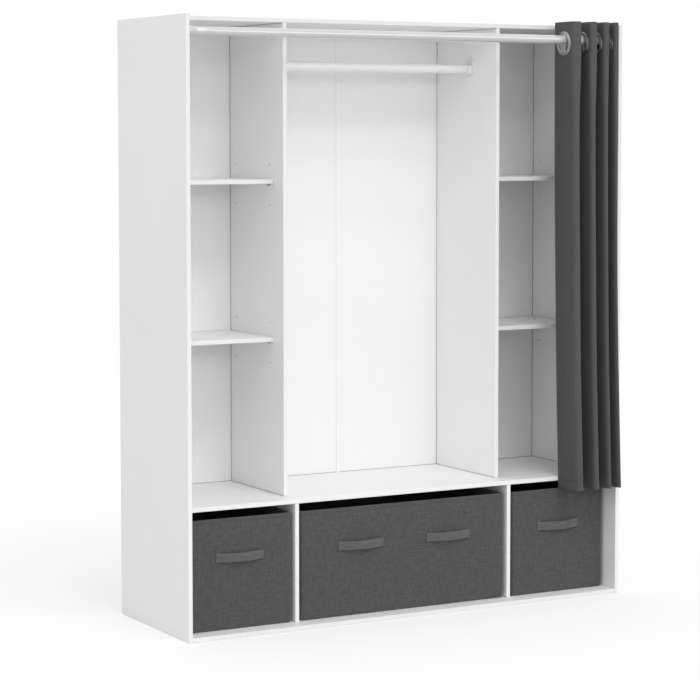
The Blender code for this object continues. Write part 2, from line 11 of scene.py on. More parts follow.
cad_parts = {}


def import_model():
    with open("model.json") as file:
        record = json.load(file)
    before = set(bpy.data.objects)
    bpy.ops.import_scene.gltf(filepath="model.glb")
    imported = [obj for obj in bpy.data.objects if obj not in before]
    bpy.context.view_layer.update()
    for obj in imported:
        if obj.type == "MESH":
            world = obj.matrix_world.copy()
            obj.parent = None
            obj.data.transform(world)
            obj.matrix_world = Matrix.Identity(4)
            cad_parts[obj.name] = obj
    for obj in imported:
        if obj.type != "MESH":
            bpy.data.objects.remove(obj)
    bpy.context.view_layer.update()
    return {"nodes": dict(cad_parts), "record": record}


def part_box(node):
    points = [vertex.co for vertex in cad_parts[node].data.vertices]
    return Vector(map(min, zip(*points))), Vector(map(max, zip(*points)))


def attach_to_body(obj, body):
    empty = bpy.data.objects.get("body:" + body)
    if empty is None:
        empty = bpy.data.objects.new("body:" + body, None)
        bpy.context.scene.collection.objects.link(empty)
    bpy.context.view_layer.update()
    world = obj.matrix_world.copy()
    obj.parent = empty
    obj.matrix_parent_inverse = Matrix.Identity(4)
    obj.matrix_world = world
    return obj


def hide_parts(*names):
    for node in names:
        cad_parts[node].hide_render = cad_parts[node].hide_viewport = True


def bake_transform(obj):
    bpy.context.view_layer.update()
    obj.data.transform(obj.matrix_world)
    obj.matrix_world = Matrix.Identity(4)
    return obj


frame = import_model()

# Lengths are in metres. Tones go from 0 (black) to 1 (white).

# Curtain cloth
CLOTH, SEWN_CLOTH = 0.0012, 0.0019  # thickness, and that of the doubled hems
GRIPPED_CLOTH = 0.00036  # thickness under the eyelets. Spreading the curtain draws it out fourfold.
FLAT = 0.0355  # half of the flat cloth round an eyelet
HOLE = 0.0268  # radius of its hole
HOLE_SHARE = 0.5  # of the flat cloth's cells, in each direction
CELLS, EDGE_STEPS, FOLD_STEPS = 12, 4, 12  # across the flat cloth, at a side edge, round a fold
HEADER_ROWS, BODY_ROWS = 5, 64  # above the flat cloth, and from there to the hem
LEAN_START = 0.06  # below the eyelets' centres
HEM, SIDE_HEM = 0.025, 0.018
HEM_ROW = 0.002  # height of the narrow rows at the hem's edges
ROUNDING = 0.5  # share of a round wave that the flanks take up away from the eyelets
ROUND_OVER = 0.2  # length of that turn, below and above an eyelet
WANDER = 0.0012  # slow unevenness of the hanging cloth
STITCH, STITCH_WIDTH = 0.0034, 0.0007  # the length includes the gap
STITCH_SHARE = 0.72  # of that length, the thread
SEAM = 0.0012  # half width of the dent along a row of stitches, which also gets painted shade

# Eyelets
BORE, BARREL, RING_RADIUS = 0.025, 0.0265, 0.0345
GROOVE = BORE + 0.0045  # radius of the groove between an eyelet's two beads
PLATE_IN = CLOTH / 2 + 0.0003
PLATE_OUT = PLATE_IN + 0.0012
# Half of an eyelet's section: its beads, from the plate's face and the bore, then its rim and barrel
BEADS = (
    (-0.0004, 0.0), (0.0002, 0.0005), (0.0005, 0.0014), (0.0005, 0.0024), (0.0, 0.0032),
    (-0.0006, 0.004), (-0.0006, 0.005), (0.0, 0.0058), (0.0005, 0.0066), (0.0004, 0.0078),
)
RIM = (
    (PLATE_OUT - 0.0001, RING_RADIUS - 0.0009), (PLATE_IN + 0.0004, RING_RADIUS - 0.0002),
    (PLATE_IN + 0.0001, RING_RADIUS - 0.0003), (PLATE_IN, RING_RADIUS - 0.0009), (PLATE_IN, BARREL),
)

# Other rounded pieces
ROUND = 64  # sides of a turned piece
SOFT_EDGE = 0.0003
SHARP, BOX_SHARP = radians(50), radians(60)  # angles from which edges are shown sharp

# Fabric boxes
BOX_WALL, BOX_CORNER, BOX_FOOT, BOX_HEM = 0.004, 0.008, 0.005, 0.011
HEM_BULGE = 0.0006
# (inset, height) of the folded hem's rings, from its lower edge and from the rim
HEM_FOOT = ((0.0003, -0.0006), (0.0005, 0.0), (-0.0003, 0.0007), (-HEM_BULGE, 0.0025))
HEM_HEAD = ((-HEM_BULGE, -0.0025), (-0.0002, -0.0009), (0.0007, -0.0002), (0.002, 0.0), (0.0033, -0.0002))
RIM_DROP = 0.0012  # from the rim to the inner wall's upper edge
RIM_CLOTH = 0.0013  # cloth between two level rings of the rim
CELL = 0.02  # length of a wall's cells
CORNER_STEPS, FOOT_STEPS, WALL_STEPS, INSIDE_STEPS = 6, 5, 14, 8
WALL_HOLLOW, WALL_WAVE = 0.0007, 0.0005  # how far a wall bends in, and its unevenness

# Straps
STRAP, TAB = 0.002, 0.01  # thickness, and length of a sewn end
BOW, SAG = 0.0095, 0.0012
CURL = 0.0007  # hollow across the strap at its middle
NARROWING = 0.02  # largest loss of width along the strap
STRAP_STEPS = 40
STRAP_ENDS = (0.0003, 0.003, 0.0065)  # places of a sewn end's sections, from the strap's end
SQUARE_MARGINS = (0.0022, 0.0025)  # from the edges of a sewn end to its stitches
STRAP_STITCH = 0.0032
THREAD, THREAD_SINK = 0.00032, 0.00008  # radius, and depth of its middle in the cloth
THREAD_SIDES = 6
THREAD_FORM = ((0.0, 0.35), (0.25, 1.0), (0.75, 1.0), (1.0, 0.35))  # shares of length and radius

# Sockets and fasteners, as (along the axis, radius)
ROD_SOCKET = (
    (0.0, 0.0242), (0.0006, 0.0249), (0.0026, 0.025), (0.0036, 0.0245), (0.0042, 0.0232),
    (0.0043, 0.018), (0.0047, 0.0152), (0.0056, 0.0139), (0.007, 0.0135), (0.0303, 0.0135),
    (0.031, 0.0133), (0.031, 0.0128), (0.0045, 0.0128),
)
GRUB_SCREW = [
    (0.0, 0.0021), (-0.0003, 0.0021), (-0.0005, 0.0019), (-0.0005, 0.0011), (0.0, 0.0009), (0.0004, 0.0009),
]
GRUB_SCREW_PLACE = (0.02, -0.0134)  # from the wall, and from the rod's axis
RAIL_SCREW = ((0.0, 0.0034), (0.0003, 0.0033), (0.0006, 0.0026), (0.0007, 0.0014), (0.0001, 0.0011))
RAIL_SCREW_PLACE = (0.004, 0.0195, 0.0255)  # from the wall, from the rail's middle, below the flange's top
NAIL = ((0.0, 0.0024), (0.0003, 0.0023), (0.0006, 0.0014))
NAIL_SIDES, NAILS_UP, NAILS_ACROSS = 12, 13, 12
NAIL_MARGINS = (0.004, 0.003)  # from the edges of a back sheet, across and up

BOARDS = (
    "side_panel", "bottom_panel", "middle_shelf", "top_panel", "lower_divider", "upper_divider", "bay_shelf",
)
BODIES = frame["record"]["behaviour"]["bodies"]

# Planes where boards meet, each with the board that ends there, for the painted shade lines in those corners.
# X holds on both sides of the middle.
DIVIDERS = ("lower_divider_right", "upper_divider_right")
SHADE_LINE_PLANES = [
    ("X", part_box("side_panel_right")[0].x, "side_panel_right"),
    *(("X", corner.x, divider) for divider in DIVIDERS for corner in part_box(divider)),
    ("Y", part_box("back_sheet_left")[0].y, "side_panel_right"),
    ("Z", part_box("middle_shelf")[1].z, "middle_shelf"),
    ("Z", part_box("top_panel")[0].z, "top_panel"),
]
SHADE_LINE_CORE, SHADE_LINE_EDGE = 0.0004, 0.0024  # half widths of a painted shade line's core and of the whole
# tone at the middle of a painted shade line
SHADE_LINE_TONE = 0.42
SHADE_LINE_OVERRUN = 0.001  # past a divider's ends
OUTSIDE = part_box("side_panel_right")[1] - Vector((0.0005, 0, 0.0005))

# Marks on the boards
GLUE_PLACE, GLUE_HALF = 0.00115, 0.0002  # the tape's glue line: from a board's front edge, and half width
TAPE_SHADE_FROM, TAPE_SHADE = 0.2, -0.18  # height where painted shade on the edge tape starts, and how much darker the tape is at the top
DUSTY_FOOT = 0.03
RAW_BEHIND = 0.2  # edges that face the wall behind this depth are raw
STRIP_SHADE_LINE = 0.0025  # width of the painted shade line beside the joint strip

# Tones
MELAMINE, HARDBOARD = 0.92, 0.9
# The rod's sockets are the same white plastic as the rail's, made darker as painted shade.
RAIL_SOCKET_PLASTIC, ROD_SOCKET_PLASTIC_PAINTED_SHADE = 0.86, 0.58
# Both tubes have one white coat: the rail's tone is paler as painted light, and the rod's darker as painted
# shade.
RAIL_COAT_PAINTED_LIGHT, ROD_COAT_PAINTED_SHADE = 0.86, 0.54
BOX_LINEN, STRAP_LINEN, STRAP_SEWING = 0.0935, 0.134, 0.16
LINING_FELT, BASE_BOARD_FELT = 0.09, 0.16
CURTAIN_GREY = (0.0865, 0.0865, 0.0885, 1.0)
NICKEL = (0.6, 0.6, 0.59, 1.0)
ZINC = (0.62, 0.64, 0.66, 1.0)
DARK_CHIP, PALE_CHIP = (0.42, 0.28, 0.15, 1.0), (0.68, 0.52, 0.33, 1.0)
DARK_FIBRE, PALE_FIBRE = (0.2, 0.105, 0.05, 1.0), (0.42, 0.26, 0.14, 1.0)
WHITE = (1.0, 1.0, 1.0, 1.0)

# Studio
CAMERA_PLACE = (-3.29139, -5.75463, 1.35756)
CAMERA_DOWN, CAMERA_TURN = 4.0679, -29.592  # degrees
CAMERA_LENS, CAMERA_SENSOR = 119.1275, 36  # millimetres
CAMERA_SHIFT = (-0.02593, -0.075)
SKY = 0.91
FLOOR_SEEN, FLOOR_BOUNCE = 0.93, 0.68  # tone for the camera, and for light that the floor throws back
FLOOR_MIDDLE = (0.0, -0.1, 0.0)
FLOOR_FADE = (0.9, 2.4)  # distances between which the floor turns into the background
FLOOR_REACH, FLOOR_LEVEL = (-30, 30), -0.0003


# Node materials


class Paint:
    """The node tree of one material, or of the world. Each method adds a node and gives its output."""

    def __init__(self, name, world=False):
        kinds = ("Background", "OutputWorld") if world else ("BsdfPrincipled", "OutputMaterial")
        self.owner = (bpy.data.worlds if world else bpy.data.materials).new(name)
        self.owner.use_nodes = True
        self.tree = self.owner.node_tree
        self.tree.nodes.clear()
        self.shader, self.output = (self.tree.nodes.new("ShaderNode" + kind) for kind in kinds)
        self.tree.links.new(self.shader.outputs[0], self.output.inputs[0])

    def put(self, target, value):
        if isinstance(value, bpy.types.NodeSocket):
            self.tree.links.new(value, target)
        else:
            target.default_value = value

    def add(self, kind, inputs, output=0, **settings):
        made = self.tree.nodes.new("ShaderNode" + kind)
        for key, value in settings.items():
            setattr(made, key, value)
        for key, value in inputs.items():
            self.put(made.inputs[key], value)
        return made.outputs[output]

    def finish(self, **values):
        """Sets the shader's own sockets, each named with _ for a space."""
        for key, value in values.items():
            self.put(self.shader.inputs[key.replace("_", " ")], value)
        return self.owner

    def surface(self, colour, rough, normal, **values):
        return self.finish(Base_Color=colour, Roughness=rough, Normal=normal, **values)

    def maths(self, operation, *values):
        return self.add("Math", dict(enumerate(values)), operation=operation)

    def times(self, first, second):
        return self.maths("MULTIPLY", first, second)

    def largest(self, first, second):
        return self.maths("MAXIMUM", first, second)

    def apart(self, first, second):
        return self.maths("ABSOLUTE", self.maths("SUBTRACT", first, second))

    def band(self, value, middle, half):
        """1 within half of the middle, and 0 outside."""
        return self.maths("LESS_THAN", self.apart(value, middle), half)

    def changed(self, tone, mask, change):
        """The tone, with this share added where the mask is 1."""
        return self.times(tone, self.maths("MULTIPLY_ADD", mask, change, 1.0))

    def place(self, kind="Object"):
        return self.add("TexCoord", {}, output=kind)

    def parts(self, vector):
        return self.add("SeparateXYZ", {0: vector}).node.outputs

    def normal(self):
        return self.parts(self.add("NewGeometry", {}, output="True Normal"))

    def scaled(self, vector, scale):
        return self.add("Mapping", {"Vector": vector, "Scale": scale})

    def distance(self, first, second):
        return self.add("VectorMath", {0: first, 1: second}, output="Value", operation="DISTANCE")

    def noise(self, vector, scale, detail=2.0, roughness=0.5):
        inputs = {"Vector": vector, "Scale": scale, "Detail": detail, "Roughness": roughness}
        return self.add("TexNoise", inputs)

    def streaks(self, vector, across, up):
        """Noise with its own scale in each direction."""
        return self.noise(self.scaled(vector, (across, up, 1.0)), 1.0)

    def flakes(self, vector, scale, output="Color"):
        return self.add("TexVoronoi", {"Vector": vector, "Scale": scale}, output=output)

    def ramp(self, value, low, high, to_low, to_high):
        return self.add("MapRange", {0: value, 1: low, 2: high, 3: to_low, 4: to_high})

    def spread(self, value, to_low, to_high):
        """Brings a noise, mostly between 0.3 and 0.7, to a range of its own."""
        return self.ramp(value, 0.3, 0.7, to_low, to_high)

    def mix(self, factor, first, second):
        return self.add("Mix", {0: factor, 6: first, 7: second}, output=2, data_type="RGBA")

    def mix_values(self, factor, first, second):
        return self.add("Mix", {0: factor, 2: first, 3: second}, data_type="FLOAT")

    def grey(self, colour, factor):
        """The colour times a number that varies over the surface."""
        start = colour if isinstance(colour, bpy.types.NodeSocket) else colour[:3]
        return self.add("VectorMath", {0: start, 3: factor}, operation="SCALE")

    def bump(self, height, distance, **more):
        return self.add("Bump", {"Height": height, "Distance": distance, "Strength": 1.0, **more})


def neutral(value):
    return (value, value, value, 1.0)


def stitches(mat, along, across, middle):
    """A row of stitches along one direction: 1 on the thread and 0 between."""
    in_row = mat.band(across, middle, STITCH_WIDTH / 2)
    turn = mat.maths("FRACT", mat.maths("DIVIDE", along, STITCH))
    return mat.times(in_row, mat.maths("LESS_THAN", turn, STITCH_SHARE))


def weave(mat, around, pitch, fine, long, contrast):
    """Height of a plain weave, its threads' unevenness and their tone. Warp and weft are on top in turn."""
    axes = mat.parts(around)
    column, row = mat.maths("DIVIDE", axes["X"], pitch), mat.maths("DIVIDE", axes["Y"], pitch)
    cells = mat.maths("ADD", mat.maths("FLOOR", column), mat.maths("FLOOR", row))
    warp_on_top = mat.maths("FLOORED_MODULO", cells, 2.0)
    waves = (mat.maths("SINE", mat.times(line, pi)) for line in (column, row))
    warp, weft = (mat.maths("ABSOLUTE", wave) for wave in waves)
    over = mat.times(warp, mat.maths("MULTIPLY_ADD", weft, 0.4, 0.6))
    under = mat.times(weft, mat.maths("MULTIPLY_ADD", warp, 0.4, 0.6))
    height = mat.mix_values(warp_on_top, under, over)
    thread = mat.mix_values(warp_on_top, mat.streaks(around, long, fine), mat.streaks(around, fine, long))
    return height, thread, mat.ramp(thread, 0.25, 0.75, 1 - contrast, 1 + contrast)


def painted_corner_shade(mat, axes, normal):
    """1 on a board, and darker in a thin line of painted shade where another board or the back meets it."""
    tone = 1.0
    for axis, place, board in SHADE_LINE_PLANES:
        low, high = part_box(board)
        across = mat.maths("ABSOLUTE", axes[axis]) if axis == "X" else axes[axis]
        line = mat.ramp(mat.apart(across, place), SHADE_LINE_CORE, SHADE_LINE_EDGE, SHADE_LINE_TONE, 1.0)
        facing = mat.maths("GREATER_THAN", mat.maths("ABSOLUTE", normal[axis]), 0.5)
        clear = mat.largest(facing, mat.maths("LESS_THAN", axes["Y"], low.y))
        if axis == "X":
            height = mat.apart(axes["Z"], (low.z + high.z) / 2)
            past_end = mat.maths("GREATER_THAN", height, (high.z - low.z) / 2 + SHADE_LINE_OVERRUN)
            clear = mat.largest(clear, past_end)
        tone = mat.times(tone, mat.largest(line, clear))
    beside = mat.maths("GREATER_THAN", mat.maths("ABSOLUTE", axes["X"]), OUTSIDE.x)
    above = mat.maths("GREATER_THAN", axes["Z"], OUTSIDE.z)
    return mat.largest(tone, mat.largest(beside, above))


def board_look(name, front, lined=True):
    """White melamine board with edge tape at the front, and bare chipboard where an edge is raw."""
    mat = Paint(name)
    where = mat.place()
    axes, normal = mat.parts(where), mat.normal()
    tone = mat.spread(mat.noise(where, 5.0, 3.0), 0.985, 1.0)
    speckle = mat.noise(where, 900.0, 1.0)
    tone = mat.times(tone, mat.ramp(speckle, 0.2, 0.8, 0.99, 1.0))
    # With lined, the board gets painted shade lines where other boards or the back meet it.
    if lined:
        tape = mat.maths("LESS_THAN", normal["Y"], -0.5)
        tone = mat.times(tone, mat.largest(painted_corner_shade(mat, axes, normal), tape))
        # Painted shade: the edge tape gets darker towards the top.
        tone = mat.changed(tone, tape, mat.ramp(axes["Z"], TAPE_SHADE_FROM, OUTSIDE.z, 0.0, TAPE_SHADE))
    tone = mat.changed(tone, mat.band(axes["Y"], front + GLUE_PLACE, GLUE_HALF), -0.1)
    scuff = mat.noise(mat.scaled(where, (6.0, 6.0, 60.0)), 6.0, 4.0, 0.7)
    foot = mat.ramp(axes["Z"], 0.0, DUSTY_FOOT, 1.0, 0.0)
    dust = mat.times(foot, mat.ramp(scuff, 0.5, 0.8, 0.0, 0.08))
    white = mat.grey(neutral(MELAMINE), mat.maths("SUBTRACT", tone, dust))

    chip = mat.parts(mat.flakes(where, 420.0))["X"]
    grain = mat.noise(where, 260.0, 4.0, 0.7)
    core = mat.grey(mat.mix(chip, DARK_CHIP, PALE_CHIP), mat.spread(grain, 0.75, 1.1))
    to_wall = mat.maths("GREATER_THAN", normal["Y"], 0.9)
    raw = mat.times(to_wall, mat.maths("GREATER_THAN", axes["Y"], RAW_BEHIND))

    smear = mat.noise(mat.scaled(where, (1.0, 1.0, 4.0)), 9.0, 3.0)
    rough = mat.largest(mat.spread(smear, 0.4, 0.5), mat.times(raw, 0.9))
    pearl = mat.noise(where, 650.0)
    height = mat.maths("MULTIPLY_ADD", mat.times(raw, chip), 12.0, pearl)
    return mat.surface(mat.mix(raw, white, core), rough, mat.bump(height, 0.00003))


def hardboard_look():
    """Thin fibre board: white lacquer on the room side, bare brown fibres on the wall side."""
    mat = Paint("white_hardboard")
    where = mat.place()
    axes, normal = mat.parts(where), mat.normal()
    bare = mat.maths("GREATER_THAN", normal["Y"], 0.5)
    cloud = mat.noise(where, 3.5, 3.0)
    # The room side gets painted shade: dark lines in the corners, and a faint line beside the joint strip.
    tone = mat.times(mat.spread(cloud, 0.985, 1.0), painted_corner_shade(mat, axes, normal))
    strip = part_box("back_joint_strip")[1].x
    seam = mat.ramp(mat.maths("ABSOLUTE", axes["X"]), strip, strip + STRIP_SHADE_LINE, 0.9, 1.0)
    white = mat.grey(neutral(HARDBOARD), mat.times(tone, seam))
    fibre = mat.noise(mat.scaled(where, (1.0, 1.0, 0.45)), 700.0, 4.0, 0.75)
    patches = mat.noise(where, 14.0, 3.0)
    brown = mat.grey(mat.mix(fibre, DARK_FIBRE, PALE_FIBRE), mat.spread(patches, 0.85, 1.08))
    rough = mat.maths("MULTIPLY_ADD", bare, 0.3, mat.spread(cloud, 0.42, 0.52))
    lacquer = mat.noise(where, 350.0)
    height = mat.maths("MULTIPLY_ADD", mat.times(bare, fibre), 5.0, lacquer)
    return mat.surface(mat.mix(bare, white, brown), rough, mat.bump(height, 0.00004))


def plastic_look(name, value):
    mat = Paint(name)
    where = mat.place()
    colour = mat.grey(neutral(value), mat.spread(mat.noise(where, 30.0), 0.97, 1.0))
    rough = mat.spread(mat.noise(where, 80.0, 3.0), 0.3, 0.45)
    grain = mat.bump(mat.noise(where, 2600.0), 0.00002)
    return mat.surface(colour, rough, grain, Subsurface_Weight=0.05)


def tube_look(name, value, coat):
    """Gloss powder coat over steel."""
    mat = Paint(name)
    where = mat.place()
    colour = mat.grey(neutral(value), mat.spread(mat.noise(where, 22.0), 0.97, 1.0))
    rub = mat.noise(mat.scaled(where, (3.0, 60.0, 60.0)), 8.0, 3.0)
    peel = mat.bump(mat.noise(where, 900.0, 1.0), 0.00002)
    return mat.surface(
        colour, mat.spread(rub, 0.2, 0.3), peel,
        Coat_Weight=coat, Coat_Roughness=0.04, Coat_IOR=1.9, Sheen_Weight=0.3, Sheen_Roughness=0.25,
    )


def eyelet_look():
    """Nickel, brushed round the ring, and dull and darkened by painted shade in the groove."""
    mat = Paint("satin_steel")
    brush = mat.noise(mat.scaled(mat.place("UV"), (60.0, 2600.0, 1.0)), 1.0, 3.0, 0.6)
    where = mat.place()
    radius = mat.distance(mat.scaled(where, (0.0, 1.0, 1.0)), (0.0, *EYELETS[0].yz))
    # A band round the groove, which is rougher and gets painted shade.
    groove = mat.ramp(mat.apart(radius, GROOVE), 0.0004, 0.0012, 1.0, 0.0)
    stain = mat.spread(mat.noise(where, 120.0), 0.9, 1.0)
    rough = mat.maths("MULTIPLY_ADD", groove, 0.3, mat.spread(brush, 0.22, 0.36))
    colour = mat.grey(NICKEL, mat.changed(stain, groove, -0.62))
    return mat.surface(colour, rough, mat.bump(brush, 0.00001), Metallic=1.0)


def zinc_look():
    mat = Paint("pin_zinc")
    where = mat.place()
    facet = mat.parts(mat.flakes(where, 500.0))["X"]
    colour = mat.grey(ZINC, mat.ramp(facet, 0.0, 1.0, 0.85, 1.0))
    rough = mat.spread(mat.noise(where, 700.0), 0.28, 0.45)
    return mat.surface(colour, rough, mat.bump(facet, 0.00001), Metallic=1.0)


def linen_look(name, value, pitch, contrast):
    """Coarse linen cloth, with threads of uneven thickness and tone, and some long slubs."""
    mat = Paint(name)
    around = mat.place("UV")
    height, thread, tone = weave(mat, around, pitch, 430.0, 42.0, contrast)
    broad = mat.maths("ADD", mat.streaks(around, 190.0, 28.0), mat.streaks(around, 28.0, 190.0))
    tone = mat.times(tone, mat.ramp(broad, 0.7, 1.3, 1 - contrast / 2, 1 + contrast / 2))
    # Painted shade: the weave is darker where it lies lower.
    tone = mat.times(tone, mat.ramp(height, 0.0, 1.0, 0.72, 1.06))
    fuzz = mat.noise(mat.place(), 1800.0)
    relief = mat.maths("MULTIPLY_ADD", fuzz, 0.35, height)
    relief = mat.maths("MULTIPLY_ADD", thread, 0.6, relief)
    return mat.surface(
        mat.grey(neutral(value), tone), mat.spread(fuzz, 0.8, 0.95), mat.bump(relief, 0.00022),
        Sheen_Weight=0.25, Sheen_Roughness=0.45, Specular_IOR_Level=0.25,
    )


def curtain_look(width, hem):
    """Fine even cloth, with a sewn line above the hem and beside each side edge."""
    mat = Paint("curtain_grey")
    around = mat.place("UV")
    axes = mat.parts(around)
    height, thread, tone = weave(mat, around, 0.0007, 700.0, 12.0, 0.07)
    line = stitches(mat, axes["X"], axes["Y"], hem + HEM)
    seam = mat.band(axes["Y"], hem + HEM, SEAM)
    for edge in (SIDE_HEM, width - SIDE_HEM):
        line = mat.largest(line, stitches(mat, axes["Y"], axes["X"], edge))
        seam = mat.largest(seam, mat.band(axes["X"], edge, SEAM))
    tone = mat.times(tone, mat.spread(mat.streaks(around, 5.0, 1.6), 0.97, 1.03))
    # Painted shade: the weave is darker where it lies lower.
    tone = mat.times(tone, mat.ramp(height, 0.0, 1.0, 0.8, 1.05))
    # The seams' dents get painted shade, and the stitches' thread is paler.
    tone = mat.changed(mat.changed(tone, seam, -0.18), line, 0.4)
    threads = mat.bump(mat.maths("MULTIPLY_ADD", thread, 0.5, height), 0.00008)
    sewn = mat.maths("MULTIPLY_ADD", line, 1.4, mat.times(seam, -1.0))
    rough = mat.spread(mat.noise(mat.place(), 1500.0), 0.72, 0.88)
    return mat.surface(
        mat.grey(CURTAIN_GREY, tone), rough, mat.bump(sewn, 0.0004, Normal=threads),
        Sheen_Weight=0.18, Sheen_Roughness=0.35, Specular_IOR_Level=0.3,
    )


def felt_look(name, value):
    """Pressed fibres, as on a box's base board and its lining."""
    mat = Paint(name)
    where = mat.place()
    cell = mat.flakes(where, 420.0, "Distance")
    hair = mat.noise(where, 500.0, 5.0, 0.7)
    tone = mat.times(mat.spread(hair, 0.8, 1.2), mat.ramp(cell, 0.0, 0.8, 0.9, 1.05))
    relief = mat.bump(mat.maths("ADD", hair, cell), 0.0002)
    return mat.surface(mat.grey(neutral(value), tone), mat.spread(hair, 0.85, 0.95), relief, Sheen_Weight=0.2)


def thread_look():
    mat = Paint("strap_thread")
    twist = mat.streaks(mat.place("UV"), 900.0, 3000.0)
    colour = mat.grey(neutral(STRAP_SEWING), mat.spread(twist, 0.8, 1.15))
    return mat.surface(colour, mat.spread(twist, 0.6, 0.8), mat.bump(twist, 0.0001), Sheen_Weight=0.3)


def floor_look():
    """A pale matt floor that fades into the background. It shows paler than the light it throws back."""
    mat = Paint("studio_floor")
    where = mat.place()
    grain = mat.noise(where, 40.0, 3.0)
    seen = mat.add("LightPath", {}, output="Is Camera Ray")
    colour = mat.mix(seen, neutral(FLOOR_BOUNCE), neutral(FLOOR_SEEN))
    mat.finish(
        Base_Color=mat.grey(colour, mat.spread(grain, 0.995, 1.0)),
        Roughness=mat.spread(grain, 0.85, 0.95), Specular_IOR_Level=0.1,
    )
    far = mat.ramp(mat.distance(where, FLOOR_MIDDLE), *FLOOR_FADE, 0.6, 1.0)
    white = mat.add("Emission", {"Color": WHITE, "Strength": 1.0})
    inputs = {0: mat.times(far, seen), 1: mat.shader.outputs[0], 2: white}
    mat.put(mat.output.inputs[0], mat.add("MixShader", inputs))
    return mat.owner


# Mesh building


def placed(name, data):
    made = bpy.data.objects.new(name, data)
    bpy.context.scene.collection.objects.link(made)
    return made


def new_piece(name, mesh, looks, sharp=None, smooth=True):
    """A piece with this mesh. Its edges are shown sharp from the angle sharp on."""
    for look in looks:
        mesh.materials.append(look)
    if smooth:
        mesh.polygons.foreach_set("use_smooth", [True] * len(mesh.polygons))
    if sharp:
        mesh.set_sharp_from_angle(angle=sharp)
    return placed(name, mesh)


def mesh_from(name, points, faces, uvs=None, kinds=None):
    """A mesh of these points and faces, with a (u, v) for each corner and a material number for each face."""
    mesh = bpy.data.meshes.new(name)
    mesh.from_pydata(points, [], faces)
    if uvs is not None:
        layer = mesh.uv_layers.new(name="uv")
        layer.data.foreach_set("uv", [number for pair in uvs for number in pair])
    if kinds is not None:
        mesh.polygons.foreach_set("material_index", kinds)
    mesh.update()
    return mesh


def corners(low, high, start, end):
    """The corners of a cell, in the order that every face here has."""
    return ((start, low), (end, low), (end, high), (start, high))


def face(low, high, start, end):
    """A face between two rows of points. Each number is the sum of its row's and its place's."""
    return [sum(corner) for corner in corners(low, high, start, end)]


def distances(points, closed=True):
    """The distance run in the plane from the first point to each, and back to the first if closed."""
    run = [0.0]
    for first, second in zip(points, points[1:] + (points[:1] if closed else [])):
        run.append(run[-1] + dist(first[:2], second[:2]))
    return run


@contextmanager
def edited(mesh):
    """The mesh as a bmesh, which is written back afterwards."""
    shape = bmesh.new()
    shape.from_mesh(mesh)
    yield shape
    shape.to_mesh(mesh)
    shape.free()


def settle(piece):
    """Applies the piece's modifiers to its mesh."""
    graph = bpy.context.evaluated_depsgraph_get()
    made = bpy.data.meshes.new_from_object(piece.evaluated_get(graph))
    piece.modifiers.clear()
    piece.data = made


def turned(name, centre, axis, profile, look, closed=False):
    """Turns a profile of (along, radius) round the axis X (0) or Y (1). A closed profile makes a ring."""
    points, faces, uvs = [], [], []
    count = len(profile)
    lengths = distances(profile)
    turns = [side * tau / ROUND * RING_RADIUS for side in range(ROUND + 1)]
    for side in range(ROUND):
        angle = tau * side / ROUND
        for along, radius in profile:
            across, up = radius * cos(angle), radius * sin(angle)
            offset = (along, across, up) if axis == 0 else (-across, along, up)
            points.append(centre + Vector(offset))
    for side in range(ROUND):
        after = (side + 1) % ROUND
        for row in range(count if closed else count - 1):
            faces.append(face(row, (row + 1) % count, side * count, after * count))
            uvs += corners(lengths[row], lengths[row + 1], turns[side], turns[side + 1])
    if not closed:
        for row in (0, count - 1):
            rim = [side * count + row for side in range(ROUND)]
            faces.append(rim if row else rim[::-1])
            uvs += [(points[i].y, points[i].z) for i in faces[-1]]
    mesh = mesh_from(name, points, faces, uvs)
    with edited(mesh) as shape:
        bmesh.ops.recalc_face_normals(shape, faces=shape.faces)
    return new_piece(name, mesh, [look], SHARP)


def attach(piece, node=None):
    """Lets the piece ride on the body of the CAD node that it replaces, or else on the carcass."""
    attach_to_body(piece, next((body for body, nodes in BODIES.items() if node in nodes), "carcass"))
    if node:
        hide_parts(node)
    return piece


def rail_socket(node, look):
    """A copy of the CAD node with its points joined, soft edges and smooth shading."""
    mesh = frame["nodes"][node].data.copy()
    mesh.materials.clear()
    with edited(mesh) as shape:
        bmesh.ops.remove_doubles(shape, verts=shape.verts, dist=0.00001)
        bmesh.ops.recalc_face_normals(shape, faces=shape.faces)
    piece = new_piece(node + ".fine", mesh, [look])
    edge = piece.modifiers.new("soft_edge", "BEVEL")
    edge.width = SOFT_EDGE
    edge.segments = 2
    edge.limit_method = "ANGLE"
    edge.angle_limit = radians(40)
    settle(piece)
    piece.data.set_sharp_from_angle(angle=SHARP)
    return attach(piece, node)


def middle(node):
    low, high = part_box(node)
    return (low + high) / 2


# Curtain


ROD_MIDDLE = middle("curtain_rod")
EYELETS = [middle(f"curtain_eyelet_{number}") for number in range(1, 9)]
CLOTH_LOW, CLOTH_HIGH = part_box("curtain_cloth")
FOLD_DEPTH = 2 * (CLOTH_HIGH.y - CLOTH / 2 - ROD_MIDDLE.y)
LEAN = ROD_MIDDLE.y - FOLD_DEPTH / 2 - (CLOTH_LOW.y + CLOTH / 2)


def flank_turn(number):
    """1 where the cloth runs to the back through this eyelet, -1 where it runs to the front."""
    return 1 if number % 2 else -1


def wave_shift(along, before, after):
    """How far a point of a flank stands beside its eyelet, where the whole flank is one bend of a wave."""
    share = asin(max(-1.0, min(1.0, 2 * along / FOLD_DEPTH))) * 2 / pi
    return share * (after if along > 0 else before)


